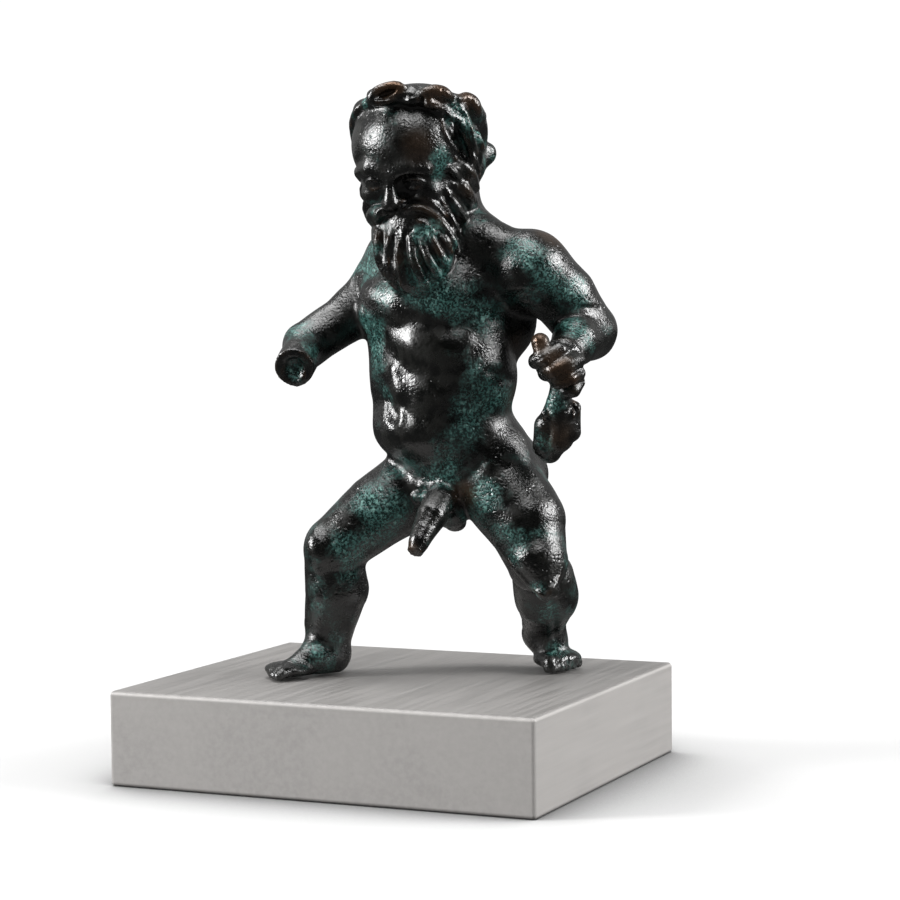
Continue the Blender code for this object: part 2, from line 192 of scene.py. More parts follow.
def rope(places, radii):
    """A round bar through places, its radius changing evenly from each to the next."""
    places = np.array(places, float)
    radii = np.broadcast_to(np.array(radii, float), len(places))

    def distance(points):
        nearest = np.full(len(points), FAR)
        for start, end, first, last in zip(places[:-1], places[1:], radii[:-1], radii[1:]):
            along = end - start
            share = np.clip((points - start) @ along / max(along @ along, 1e-9), 0, 1)
            gap = np.linalg.norm(points - start - share[:, None] * along, axis=1)
            nearest = np.minimum(nearest, gap - first - share * (last - first))
        return nearest

    thick = radii[:, None]
    return Form((places - thick).min(0), (places + thick).max(0), distance)


def drum(start, end, radius):
    """A round bar with flat ends."""
    start = np.array(start, float)
    end = np.array(end, float)
    middle = (start + end) / 2
    half = np.linalg.norm(end - start) / 2
    axis = (end - start) / (2 * half)

    def distance(points):
        along = (points - middle) @ axis
        out = np.linalg.norm(points - middle - along[:, None] * axis, axis=1)
        return np.maximum(out - radius, np.abs(along) - half)

    return Form(np.minimum(start, end) - radius, np.maximum(start, end) + radius, distance)


def bend(knots, count):
    """Places evenly spaced on the smooth curve through knots."""
    knots = np.array(knots, float)
    padded = np.vstack([2 * knots[0] - knots[1], knots, 2 * knots[-1] - knots[-2]])
    places = []
    for share in np.linspace(0, len(knots) - 1, count):
        i = min(int(share), len(knots) - 2)
        t = share - i
        a, b, c, d = padded[i:i + 4]
        cubic = 3 * b - a - 3 * c + d
        places.append(b + 0.5 * ((c - a) * t + (2 * a - 5 * b + 4 * c - d) * t**2 + cubic * t**3))
    return np.array(places)


class Clay:
    """Space as a grid of distances to the surface, less than zero inside it."""

    def __init__(self, low, high, step):
        self.step = step
        self.low = np.array(low, float)
        self.axes = [np.arange(a, b, step) for a, b in zip(low, high)]
        self.field = np.full([len(axis) for axis in self.axes], FAR, np.float32)

    def around(self, form, margin):
        ends = zip(self.axes, form.low - margin, form.high + margin)
        picks = tuple(slice(*np.searchsorted(axis, (low, high))) for axis, low, high in ends)
        grid = np.meshgrid(*[axis[pick] for axis, pick in zip(self.axes, picks)], indexing="ij")
        points = np.stack(grid, -1).reshape(-1, 3)
        return picks, form.distance(points).reshape(grid[0].shape)

    def add(self, form, melt=1.0):
        picks, new = self.around(form, melt + 2)
        old = self.field[picks]
        share = np.maximum(1 - np.abs(old - new) / melt, 0)
        self.field[picks] = np.minimum(old, new) - share**2 * melt / 4

    def cut(self, form, melt=0.5):
        picks, new = self.around(form, melt + 2)
        old = self.field[picks]
        share = np.maximum(1 - np.abs(old + new) / melt, 0)
        self.field[picks] = np.maximum(old, -new) + share**2 * melt / 4

    def trim_below(self, height):
        self.field = np.maximum(self.field, (height - self.axes[2]).astype(np.float32))

    def surface(self):
        """The points and four-sided faces of the largest closed surface, without pockets inside it."""
        grid = openvdb.FloatGrid(FAR)
        grid.copyFromArray(self.field)
        points, quads = grid.convertToQuads(0.0)
        points = self.low + np.array(points, float) * self.step
        group = np.arange(len(points))
        while True:
            joined = group.copy()
            np.minimum.at(joined, quads, group[quads].min(axis=1, keepdims=True))
            joined = joined[joined]
            if np.array_equal(joined, group):
                break
            group = joined
        main = np.bincount(group).argmax()
        kept = group == main
        number = np.cumsum(kept) - 1
        return points[kept], number[quads[kept[quads[:, 0]]]]


def model_torso(clay):
    clay.add(egg(CHEST, (0, 0, 0), (13.8, 10, 12.5)))
    clay.add(egg(BELLY, (0, 0, 2), (13.2, 10.4, 12)), 4)
    clay.add(egg(BELLY, (0, -2.8, -6.2), (10.4, 8.2, 6.6)), 2.5)
    clay.add(egg(PELVIS, (0, 0.3, 2.2), (12, 9.4, 8.6)), 3)
    clay.add(egg(PELVIS, (0, -5.6, -0.6), (7.5, 4.2, 3.6)), 1.2)
    clay.add(egg(CHEST, (0, 1, 9), (12, 7.5, 5)), 3)
    clay.add(egg(CHEST, (0, -4.4, 0.4), (9.4, 6.4, 6.0)), 1.5)
    clay.add(egg(BODY, (17.6, 2.5, 58), (5.2, 5.5, 7.6)), 2)
    for side in SIDES:
        clay.add(egg(PELVIS, (5.2 * side, 5.2, -1.5), (6.2, 6.2, 7)), 1.5)
        clay.add(egg(CHEST, (5.2 * side, -5.6, 0.4), (5.8, 4.8, 5.2)), 1.5)
        clay.add(egg(CHEST, (7.0 * side, 6.6, 3.5), (4.6, 3.6, 6), roll=8 * side), 2.5)
    clay.cut(rope(CHEST.path([(0, 11.2, 8), (0, 11.2, -4), (0, 10.6, -14)]), 0.9), 2.5)
    clay.cut(egg(BELLY, (-0.4, -11.3, -3.0), (0.8, 1.6, 1.5)), 0.8)


def model_neck(clay):
    clay.add(rope([(8.4, 4.0, 68), (6.4, 0, 78)], (6.4, 6.0)), 3)
    clay.add(rope(CHEST.path([(-3, 1.6, 12.0), (-11, 0.6, 5.6)]), (4.0, 3.8)), 2.5)
    clay.add(rope(CHEST.path([(3, 1.6, 12.6), (12, 0.6, 7.2)]), (4.2, 4.0)), 2.5)


def model_legs(clay):
    clay.add(rope([(5.2, 6.2, 31.2), (-2.8, 3.2, 26.4), (-9.8, 1, 20.8)], (7.0, 6.0, 4.9)), 1.5)
    clay.add(rope([(-10.4, 1.4, 20.2), (-10.0, 2.8, 13.8), (-11.2, 3.6, 8), (-11.5, 3.8, 4.4)],
                  (4.6, 5.2, 4.1, 3.6)), 1.2)
    clay.add(egg(BODY, (-12.4, -0.6, 20.2), (2.5, 3.4, 3.6)), 0.8)
    clay.add(rope([(15.8, -1, 31.4), (20.4, -5, 25), (22.2, -7.6, 18.8)], (7.2, 6.4, 4.9)), 1.5)
    clay.add(rope([(22.3, -9, 19), (23.5, -11, 14.9)], (4.2, 2.0)), 1)
    clay.add(rope([(23.2, -3, 15.6), (23.8, 0, 12.6), (23.6, 4.5, 8.4), (23.6, 6.8, 5.8)],
                  (4.9, 5.2, 3.7, 3.4)), 0.4)


def model_foot(clay, frame, side, reach, lift, thick):
    """Side is 1 for the right foot, whose great toe is on its own left."""
    sole = 1.6 * thick
    ankle_to_toe = [(0, 3.4, 2.5 + lift), (0.2 * side, 0, 2.8 + lift / 2), (0.3 * side, 3.8 - reach, sole)]
    clay.add(rope(frame.path(ankle_to_toe), (2.7, 2.9, sole)), 1.5)
    clay.add(egg(frame, (-0.4 * side, 4.2 - reach, sole), (4.2, 3.4, sole)), 1)
    for toe in range(5):
        x = (2.8 - 1.6 * toe) * side
        y = 0.26 * toe**1.6 - reach
        radius = (1.2 if toe == 0 else 0.95) * thick
        places = [(x * 0.85, y + 3.4, sole), (x, y + 1.6, 1.4 * thick), (x, y + radius, 0.75 * thick)]
        clay.add(rope(frame.path(places), radius), 0.3)


def model_loins(clay):
    clay.add(rope([(7.4, -5.4, 29.6), (5.6, -9, 26.4), (3.6, -12, 22.8)], (2.3, 2.5, 1.6)), 0.8)
    clay.add(drum((4.2, -11.2, 24), (2.8, -13.2, 21), 1.35), 1)
    clay.add(egg(BODY, (8.6, -2.6, 26.6), (2.9, 2.6, 2.8)), 0.8)
    clay.add(egg(BODY, (9.3, -1.4, 24.6), (1.7, 1.5, 1.4)), 0.4)
    for column in range(5):
        for row in range(2):
            place = (-5 + 2.3 * column + 1.1 * row, -9.0 + 0.3 * (column - 2)**2, -2.2 - 1.9 * row)
            clay.add(egg(PELVIS, place, (1.1, 0.9, 1.0)), 0.3)


def model_arms(clay):
    clay.add(egg(BODY, (-1.8, 10.6, 61.2), (5.4, 5.8, 6.0)), 2)
    clay.add(rope([(-2.6, 10.4, 61.4), (-8.8, 7.6, 56.8), (-14.6, 5, 53.0)], (4.9, 4.0, 3.7)), 1.5)
    clay.add(drum((-14.6, 5, 53.0), (-16.0, -3.6, 49.6), 3.2), 1.5)
    clay.cut(egg(BODY, (-16.1, -4.2, 49.4), (1.9, 1.6, 1.9)), 0.4)
    clay.add(egg(BODY, (21.2, -5.0, 64.8), (6.2, 6.4, 6.0)), 3)
    clay.add(rope([(22, -4.8, 64.6), (26.8, -2.6, 60.4), (30.6, 0, 55)], (5.8, 5.2, 4.7)), 2)
    clay.add(rope([(30.6, 0, 54.8), (28.4, -6.6, 53.4), (26.6, -11, 51.4)], (4.5, 3.9, 2.9)), 1)


def model_hand(clay):
    clay.add(egg(BODY, (25.6, -12.4, 50.0), (3.6, 3.0, 3.0)), 1)
    clay.add(rope([(24.2, -13.4, 50.6), (23.0, -14.2, 52.0), (22.7, -13.8, 53.5)], (1.3, 1.3, 1.4)), 0.4)
    clay.add(rope([(25.6, -14.4, 52.2), (23.4, -15.2, 51.0), (22.0, -13.8, 50.6)], (1.3, 1.3, 1.2)), 0.3)
    clay.add(rope([(28.4, -12.8, 50.6), (26.8, -15.2, 50.2), (24.6, -15.4, 49.2), (23.6, -13.8, 48.8)],
                  1.35), 0.3)
    clay.add(rope([(28.6, -12.6, 48.6), (27.2, -14.8, 48.0), (25.4, -14.6, 47.4)], 1.2), 0.3)
    clay.add(rope([(28.6, -12.2, 47.2), (27.8, -13.4, 46.0), (26.8, -13.0, 45.8)], 1.1), 0.3)


def model_wineskin(clay):
    clay.add(rope([(26, -11.6, 47.4), (25.6, -11.0, 43.6)], (1.6, 1.9)), 0.4)
    clay.add(rope([(25.6, -10.6, 43.8), (25.4, -9.6, 41.8)], (2.0, 2.6)), 0.3)
    clay.add(rope([(26.0, -9.0, 41.2), (25.2, -8.4, 38.8), (24.2, -7.8, 36.2)], (2.8, 2.9, 1.8)), 0.5)
    clay.add(rope([(23.9, -9, 40.2), (23.4, -8.2, 37.2)], (2.2, 2.0)), 0.5)
    clay.add(rope([(27.9, -9.6, 42.6), (27.4, -9.2, 39.4)], (1.2, 1.7)), 0.3)
    for fold in range(4):
        x = 23.6 + 1.25 * fold
        clay.add(egg(BODY, (x, -12.0 + 0.25 * (fold - 1.5)**2, 42.2), (0.8, 0.7, 0.9)), 0.2)


def model_head(clay):
    clay.add(egg(HEAD, (0, 0.8, 0.4), (9.6, 11.2, 8.8)), 1)
    clay.add(egg(HEAD, (0, -2.8, 1.8), (8.0, 7.6, 6.6)), 2)
    clay.add(egg(HEAD, (0, -3.2, -4.4), (7.2, 6.6, 7.2)), 2)
    clay.add(egg(BODY, (9.6, 2, 77.5), (3.9, 4.5, 7)), 2)
    clay.add(rope(HEAD.path([(0, -10.0, -0.8), (0, -10.9, -3.0), (0, -11.7, -4.9)]), (0.9, 0.9, 1.25)), 0.9)
    for side in SIDES:
        brow = [(1.3 * side, -10.3, -0.5), (3.4 * side, -10.0, 0.1), (5.5 * side, -8.6, -0.9)]
        clay.add(rope(HEAD.path(brow), (0.9, 1.0, 0.6)), 1.5)
        clay.cut(egg(HEAD, (3.3 * side, -10.7, -2.5), (2.0, 1.7, 1.1)), 1.0)
        clay.add(egg(HEAD, (3.3 * side, -8.5, -2.6), (1.5, 1.3, 1.2)), 0.3)
        clay.add(egg(HEAD, (1.25 * side, -10.6, -5.2), (0.85, 1.1, 0.8)), 0.4)
        clay.add(egg(HEAD, (4.4 * side, -7.6, -4.9), (2.3, 1.9, 2.0)), 1.2)
        clay.add(egg(HEAD, (4.2 * side, -1.4, -6.8), (4.5, 6.0, 6.2)), 1.5)


def model_ears(clay):
    for side in SIDES:
        rim = [(8.0, -2.6, 6.6), (9.2, -1.0, 4.6), (9.9, 0.0, 2.2), (10.3, 0.9, -1.2), (9.8, 0.5, -4.4)]
        rim = [(x * side, y, z) for x, y, z in rim]
        clay.add(egg(HEAD, (9.0 * side, -0.4, 0.6), (1.6, 2.4, 5.8), pitch=-10), 0.6)
        clay.add(egg(HEAD, (6.5 * side, -2.0, 6.6), (1.7, 2.2, 2.0)), 0.8)
        clay.cut(egg(HEAD, (9.6 * side, -1.9, 0.5), (2.0, 1.5, 5.2), pitch=-14), 0.3)
        clay.add(rope(HEAD.path(bend(rim, 9)), (0.4, 0.55, 0.7, 0.8, 0.85, 0.9, 0.9, 0.8, 0.7)), 0.3)


def model_beard(clay):
    clay.add(egg(HEAD, (0, -5.0, -9.4), (6.2, 5.2, 4.6)), 1.5)
    clay.add(egg(HEAD, (0, -9.7, -8.7), (1.9, 1.1, 0.8)), 0.4)
    clay.add(egg(BEARD, (0, -1.8, 70.2), (6.3, 4.2, 9.6)), 1.5)
    for lock in range(9):
        tip = 61.2 + 5.0 * ((lock - 4.6) / 4)**2
        top = 70.6 + 0.24 * (lock - 4)**2
        places = []
        for share in (0, 0.33, 0.67, 1):
            z = top + (tip - top) * share
            turn = math.radians((-84 + 21 * lock) * (1 - 0.15 * share) + 8 * share)
            width = math.sqrt(1 - ((z - 70.2) / 10)**2)
            places.append((6.1 * width * math.sin(turn), -1.8 - 4.2 * width * math.cos(turn), z))
        clay.add(rope(BEARD.path(bend(places, 7)), (0.7, 1.0, 1.15, 1.2, 1.15, 1.0, 0.6)), 0.25)
    for side in SIDES:
        whisker = [(0.7, -10.6, -6.7), (3.0, -10.3, -7.0), (5.3, -8.2, -8.6), (6.4, -5.2, -11.4),
                   (6.2, -3.4, -14.6)]
        whisker = [(x * side, y, z) for x, y, z in whisker]
        clay.add(rope(HEAD.path(bend(whisker, 9)), (0.7, 1.0, 1.2, 1.3, 1.3, 1.2, 1.1, 0.9, 0.6)), 0.3)
        for lock in (
            [(7.6, -5.6, -2.1), (8.4, -3.4, -2.9), (8.6, -0.6, -5.2), (8.2, 2.2, -8.4)],
            [(7.3, -5.5, -4.3), (8.1, -3.5, -6.5), (8.1, -0.9, -9.1), (7.4, 1.4, -11.3)],
            [(6.8, -6.3, -6.4), (7.3, -5.4, -8.3), (7.3, -3.8, -10.9), (6.8, -2.0, -13.2)],
        ):
            lock = [(a * side, b, c) for a, b, c in lock]
            clay.add(rope(HEAD.path(bend(lock, 7)), (0.5, 0.9, 1.2, 1.4, 1.4, 1.1, 0.6)), 0.3)


def model_wreath(clay):
    """A thick garland with a cupped flower over the forehead, curled leaves and a knot at the nape."""
    knots = [(-0.1, -11.6, 91.7), (3.3, -12.3, 91.5), (6.2, -11.4, 91.3), (8.8, -9.7, 91.0),
             (10.8, -7.2, 90.4), (12.2, -4.2, 89.6), (13.2, -0.5, 88.2), (13.4, 3, 86.4),
             (12.8, 5.6, 84.8), (11, 7.6, 84.3), (8.2, 8.8, 85), (3.4, 7.2, 86.1),
             (-0.6, 4, 87.3), (-3.6, 1, 87.9), (-4.8, -2.2, 88.8), (-4.0, -6, 90.4),
             (-2.4, -9.3, 91.2), (-0.1, -11.6, 91.8)]
    band = bend(knots, 69)
    middle = np.array((4.1, -1.7, 88.5))
    clay.add(rope(middle + 0.84 * (band - middle), 1.8), 1.5)
    clay.add(rope(band, 1.2 + 0.7 * np.sin(np.linspace(0, math.pi, 69))**2), 0.5)
    for i in range(0, 68, 4):
        out = (band[i] - middle) / np.linalg.norm(band[i] - middle)
        rise = np.array((0, 0, 0.5 * (-1)**(i // 4)))
        leaf = [band[i - 2] + rise, band[i] + 0.5 * out + rise, band[i + 2] - rise]
        clay.add(rope(leaf, (0.5, 1.15, 0.4)), 0.3)
    ring = []
    for turn in range(0, 361, 24):
        x, z = 2.2 * math.cos(math.radians(turn)), 0.8 * math.sin(math.radians(turn))
        ring.append((-0.7 + 0.94 * x - 0.34 * z, -12.6, 91.9 + 0.34 * x + 0.94 * z))
    clay.add(rope(ring, 0.9), 0.3)
    clay.cut(egg(BODY, (-0.7, -13.8, 91.9), (1.8, 1.5, 0.6), roll=-20), 0.3)
    clay.add(rope([(5.4, -13.0, 92.1), (8.0, -11.6, 91.8), (10.4, -9.0, 91.0)], (0.8, 1.3, 0.6)), 0.3)
    clay.add(rope([(5.6, -13.2, 91.6), (5.9, -13.2, 90.4), (7.4, -12.4, 90.0)], (0.7, 0.8, 0.5)), 0.3)
    clay.add(rope([(10.8, -8.0, 90.9), (12.2, -6.2, 90.6), (13.6, -2.6, 89.0)], (0.9, 1.5, 1.3)), 0.4)
    clay.add(egg(BODY, (-4.7, -2.2, 88.5), (1.4, 2.2, 2.0)), 0.4)
    clay.add(egg(BODY, (14.8, 5.8, 83.6), (1.8, 1.9, 1.9)), 0.8)
    clay.add(egg(BODY, (12.2, 4.2, 82.0), (2.6, 3.6, 3.4)), 1.5)


def sculpt(step):
    """The whole figure without its finest carving, its soles flat on z = 0."""
    clay = Clay((-24, -22, -1.5), (40, 22, 99), step)
    model_torso(clay)
    model_neck(clay)
    model_legs(clay)
    model_foot(clay, RIGHT_FOOT, 1, 9.2, 0, 0.75)
    model_foot(clay, LEFT_FOOT, -1, 5.2, 2.6, 1.05)
    model_loins(clay)
    model_arms(clay)
    model_wineskin(clay)
    model_hand(clay)
    model_head(clay)
    model_ears(clay)
    model_beard(clay)
    model_wreath(clay)
    clay.trim_below(0)
    return clay


def sample(clay, points):
    """The distances of the clay at points, read between the places of its grid."""
    place = (points - clay.low) / clay.step
    top = np.array(clay.field.shape) - 2
    cell = np.clip(np.floor(place).astype(int), 0, top)
    part = np.clip(place - cell, 0, 1)
    value = np.zeros(len(points))
    for corner in range(8):
        pick = np.array([corner >> 2 & 1, corner >> 1 & 1, corner & 1])
        share = np.prod(np.where(pick, part, 1 - part), axis=1)
        i, j, k = (cell + pick).T
        value += share * clay.field[i, j, k]
    return value


def store(mesh, name, values):
    layer = mesh.attributes.new(name, "FLOAT", "POINT")
    layer.data.foreach_set("value", np.asarray(values, np.float32))


def seen(clay, marks, count=1):
    """Places on the surface behind marks, or closest beside them, and which way it faces there.

    Marks are pairs of x and z on the plane y = 0, joined by a smooth curve of count places.
    """
    marks = np.array([(x, 0, z) for x, z in marks], float)
    marks = bend(marks, count) if count > 1 else marks
    ahead = marks - VIEWPOINT
    ahead /= np.linalg.norm(ahead, axis=1)[:, None]
    places = marks - MARK_RISE * ahead
    nearest = places.copy()
    least = np.full(len(places), FAR)
    for _ in range(MARK_STEPS):
        gap = sample(clay, places)
        closer = gap < least
        nearest[closer] = places[closer]
        least = np.minimum(least, gap)
        places = places + ahead * np.clip(0.8 * gap, -0.5, 2.0)[:, None]
    normals = np.stack([sample(clay, nearest + way) - sample(clay, nearest - way) for way in np.eye(3)], 1)
    return nearest, normals / np.maximum(np.linalg.norm(normals, axis=1), 1e-6)[:, None]


def ridge(clay, radius, *marks, sink=0.3, melt=0.25):
    """A raised strand along marks, thin at both ends, its middle line sink radii under the surface."""
    places, normals = seen(clay, marks, 5 * len(marks))
    thick = radius * (0.4 + 0.6 * np.sin(np.linspace(0, math.pi, len(places))))
    clay.add(rope(places - sink * thick[:, None] * normals, thick), melt)


def groove(clay, radius, *marks, depth=0.7, melt=0.25):
    """A sunk line along marks, shallow at both ends, depth radii deep."""
    places, normals = seen(clay, marks, 5 * len(marks))
    thick = radius * (0.5 + 0.5 * np.sin(np.linspace(0, math.pi, len(places))))
    clay.cut(rope(places + (1 - depth) * thick[:, None] * normals, thick), melt)


def dots(clay, radius, *marks, sink=0.2, melt=0.2):
    """A small knob at each of the marks."""
    places, normals = seen(clay, marks)
    for place in places - sink * radius * normals:
        clay.add(rope([place], radius), melt)


def pits(clay, radius, *marks, melt=0.2):
    """A small hollow at each of the marks."""
    for place in seen(clay, marks)[0]:
        clay.cut(rope([place], radius), melt)


def lumps(clay, size, height, seed):
    """Soft lumps about size units across, raised and sunk by up to height, the same each time."""
    dice = np.random.default_rng(seed)
    swell = dice.uniform(-1, 1, [int(len(axis) * clay.step / size) + 3 for axis in clay.axes])
    for side, axis in enumerate(clay.axes):
        place = (axis - axis[0]) / size
        cell = place.astype(int)
        share = place - cell
        share = share**2 * (3 - 2 * share)
        weights = np.zeros((len(axis), swell.shape[side]))
        weights[np.arange(len(axis)), cell] = 1 - share
        weights[np.arange(len(axis)), cell + 1] = share
        swell = np.moveaxis(np.tensordot(weights, swell, (1, side)), 0, side)
    clay.field += (height * swell).astype(np.float32)


def carve_face(clay):
    for side in SIDES:
        upper = [(1.8 * side, -9.2, -2.6), (2.4 * side, -9.75, -2.0), (3.4 * side, -9.9, -1.7),
                 (4.3 * side, -9.5, -2.0), (4.9 * side, -8.8, -2.7)]
        lower = [(1.9 * side, -9.2, -2.8), (2.6 * side, -9.6, -3.3), (3.4 * side, -9.7, -3.5),
                 (4.2 * side, -9.3, -3.3), (4.8 * side, -8.7, -2.9)]
        clay.add(rope(HEAD.path(bend(upper, 13)), 0.3), 0.2)
        clay.add(rope(HEAD.path(bend(lower, 13)), 0.24), 0.2)
        clay.cut(egg(HEAD, (0.72 * side, -11.1, -6.0), (0.35, 0.5, 0.3)), 0.2)
        clay.cut(rope(HEAD.path([(1.7 * side, -9.9, -4.6), (2.2 * side, -9.6, -5.6)]), 0.35), 0.4)
    clay.cut(rope(HEAD.path([(-1.9, -10.2, -8.0), (0, -10.9, -7.9), (1.9, -10.2, -8.0)]), 0.22), 0.3)


def carve_beard(clay):
    clay.add(egg(BEARD, (0, -1.8, 70.2), (6.7, 4.7, 9.8)), 0.4)
    ridge(clay, 0.80, (-2.3, 73.0), (-2.6, 70.1), (-2.5, 66.6), (-1.5, 63.7), sink=0.15)
    ridge(clay, 0.85, (-0.9, 70.1), (-1.2, 66.7), (-0.9, 64.0), (0.0, 62.1), sink=0.15)
    ridge(clay, 0.95, (0.9, 69.7), (0.6, 66.6), (0.9, 63.8), (2.0, 61.6), sink=0.15)
    ridge(clay, 0.95, (2.5, 70.1), (3.0, 67.1), (4.0, 64.2), (5.4, 62.1), sink=0.15)
    ridge(clay, 0.85, (4.3, 69.8), (5.3, 67.1), (6.7, 64.5), (7.2, 63.5), sink=0.15)
    ridge(clay, 0.80, (5.8, 70.5), (6.9, 68.2), (8.0, 66.1), (8.5, 65.1), sink=0.15)
    ridge(clay, 0.70, (7.2, 70.9), (8.3, 69.2), (9.1, 67.6), sink=0.15)
    groove(clay, 0.42, (-1.8, 71.1), (-1.8, 67.2), (-1.2, 63.8), depth=0.85)
    groove(clay, 0.46, (0.0, 70.5), (-0.2, 66.6), (0.6, 62.5), depth=0.85)
    groove(clay, 0.46, (1.7, 70.3), (1.9, 66.9), (2.5, 64.2), (3.8, 61.9), depth=0.85)
    groove(clay, 0.46, (3.5, 70.3), (4.1, 66.9), (5.4, 64.0), (6.4, 62.7), depth=0.85)
    groove(clay, 0.42, (5.1, 70.5), (6.1, 67.7), (7.5, 65.0), depth=0.85)
    groove(clay, 0.38, (6.6, 70.9), (7.7, 68.7), (8.7, 66.7), depth=0.85)
    ridge(clay, 0.95, (0.8, 74.5), (3.0, 74.8), (4.8, 74.5), (6.7, 73.2), (8.3, 71.3), (9.6, 69.2),
          (10.0, 67.6))
    ridge(clay, 0.55, (1.4, 75.8), (3.2, 76.4), (4.8, 76.3), (6.6, 75.1), (8.3, 73.2), (9.5, 70.9))
    ridge(clay, 0.60, (3.5, 72.9), (5.1, 72.1), (6.6, 70.5), (7.4, 68.8))
    ridge(clay, 0.65, (-1.2, 74.8), (-2.3, 74.3), (-2.8, 73.0), (-3.0, 71.4))
    groove(clay, 0.28, (1.6, 75.3), (3.5, 75.5), (5.1, 75.3), (7.0, 74.0), (8.8, 72.1), (9.6, 70.5),
           depth=0.9)
    groove(clay, 0.34, (1.9, 73.7), (3.8, 73.9), (5.8, 73.0), (7.5, 71.1), (8.8, 68.7), depth=0.9)


def carve_hair(clay):
    ridge(clay, 1.10, (9.0, 81.0), (10.4, 79.2), (11.9, 77.2), (12.7, 75.6))
    ridge(clay, 0.90, (9.8, 82.7), (11.4, 81.4), (12.7, 79.8), (13.3, 78.1))
    ridge(clay, 0.50, (10.6, 80.2), (11.9, 78.9), (13.0, 77.2))
    ridge(clay, 0.90, (8.2, 77.9), (9.3, 76.0), (10.6, 73.9), (11.4, 72.7))
    ridge(clay, 0.70, (7.7, 76.0), (8.7, 74.0), (9.8, 71.9), (10.4, 70.5))
    groove(clay, 0.30, (9.3, 81.6), (10.9, 79.8), (12.5, 77.7))
    groove(clay, 0.38, (8.5, 79.3), (10.0, 77.2), (11.4, 75.0), (12.0, 73.7))
    groove(clay, 0.32, (7.9, 76.9), (9.0, 74.8), (10.3, 72.6))
    ridge(clay, 0.60, (12.7, 83.1), (13.3, 81.4), (13.7, 79.7))


def carve_ear(clay):
    groove(clay, 1.05, (8.2, 89.2), (9.0, 87.3), (10.3, 85.3), (11.4, 83.7), depth=0.7)
    ridge(clay, 0.60, (7.7, 90.8), (7.9, 88.2), (8.7, 85.8), (10.0, 83.9), (11.6, 82.4), sink=0.4)
    ridge(clay, 0.55, (7.7, 91.1), (9.6, 88.9), (11.2, 86.6), (12.2, 84.4), (12.5, 82.1), sink=0.1)
    ridge(clay, 0.45, (8.5, 87.8), (9.6, 86.0), (10.9, 84.0), sink=0.2)


def carve_wreath(clay):
    groove(clay, 0.40, (-3.0, 92.1), (-0.4, 92.3), (1.9, 92.4), (4.0, 92.6), depth=0.8)
    groove(clay, 0.40, (4.3, 91.5), (5.8, 90.8), (7.7, 91.1), (9.5, 92.1), depth=0.8)
    groove(clay, 0.40, (4.0, 94.1), (4.5, 93.1), (4.8, 92.0), depth=0.7)
    groove(clay, 0.45, (9.6, 93.2), (10.1, 92.1), (10.4, 90.8), depth=0.8)
    groove(clay, 0.80, (9.0, 90.3), (10.8, 89.4), (12.2, 87.9), depth=0.4, melt=0.6)
    ridge(clay, 1.20, (4.5, 93.2), (6.4, 93.4), (8.2, 93.1), (9.6, 92.3), sink=0.5)
    ridge(clay, 0.55, (4.3, 93.2), (4.1, 92.1), (5.0, 91.1), (6.7, 90.8))
    ridge(clay, 1.30, (10.6, 92.1), (11.9, 92.4), (12.9, 91.5), (13.5, 89.9), (13.8, 87.9), sink=0.5)
    ridge(clay, 0.65, (13.2, 87.4), (13.8, 85.5), (14.5, 84.0))
    ridge(clay, 0.65, (12.0, 88.4), (12.7, 86.0), (13.2, 83.4))
    groove(clay, 0.30, (12.7, 88.1), (13.3, 85.8), (13.8, 83.7))
    groove(clay, 0.30, (11.4, 88.6), (12.2, 86.6), (12.7, 84.4))
    ridge(clay, 0.60, (-4.4, 91.5), (-5.5, 90.7), (-6.3, 89.4), (-6.5, 87.6))
    ridge(clay, 0.50, (1.4, 94.1), (2.7, 93.9), (3.8, 93.6))
    dots(clay, 0.55, (-2.5, 93.4), (-1.7, 93.9))


def carve_torso(clay):
    ridge(clay, 4.2, (0.0, 54.3), (3.8, 53.0), (7.4, 52.4), (10.6, 53.3), sink=0.74, melt=1.8)
    ridge(clay, 3.0, (1.2, 45.6), (3.8, 44.3), (6.7, 44.6), sink=0.82, melt=1.8)
    ridge(clay, 2.6, (-4.6, 62.7), (-1.3, 59.5), (0.3, 57.5), sink=0.85, melt=1.4)
    ridge(clay, 1.4, (-0.2, 48.8), (0.1, 46.5), (0.4, 44.6), sink=0.88, melt=1.6)
    groove(clay, 0.9, (-1.2, 44.0), (-0.9, 42.3), (-0.4, 40.9), depth=0.55, melt=1.3)
    ridge(clay, 0.6, (0.4, 43.0), (0.9, 41.5), (0.6, 40.1), sink=0.85, melt=0.8)
    groove(clay, 0.8, (0.1, 33.9), (2.9, 32.0), (7.0, 31.0), (11.1, 31.8), (13.3, 33.9), depth=0.25, melt=1.3)
    groove(clay, 0.8, (-1.8, 36.2), (-0.5, 34.4), (0.9, 32.6), depth=0.2, melt=1.3)
    groove(clay, 0.7, (-6.5, 63.7), (-5.9, 60.8), (-5.0, 58.2), (-4.7, 56.2), depth=0.4, melt=0.7)
    groove(clay, 0.8, (16.1, 57.2), (17.7, 59.6), (20.1, 60.8), (23.5, 60.1), depth=0.25, melt=1.2)
    groove(clay, 0.7, (15.1, 48.6), (16.9, 48.0), (18.3, 47.2), depth=0.25, melt=0.9)
    groove(clay, 0.3, (28.0, 58.0), (30.1, 58.7), (32.7, 58.5), depth=0.8, melt=0.4)


def carve_stump(clay):
    rim = [(-16.3, 50.6), (-15.0, 50.1), (-14.6, 49.0), (-15.0, 47.7), (-16.3, 47.2), (-17.6, 47.7),
           (-18.1, 49.0), (-17.6, 50.1), (-16.3, 50.6)]
    ridge(clay, 0.45, *rim, sink=0.5)
    pits(clay, 0.5, (-17.0, 49.5), (-15.7, 49.8), (-16.2, 48.2))


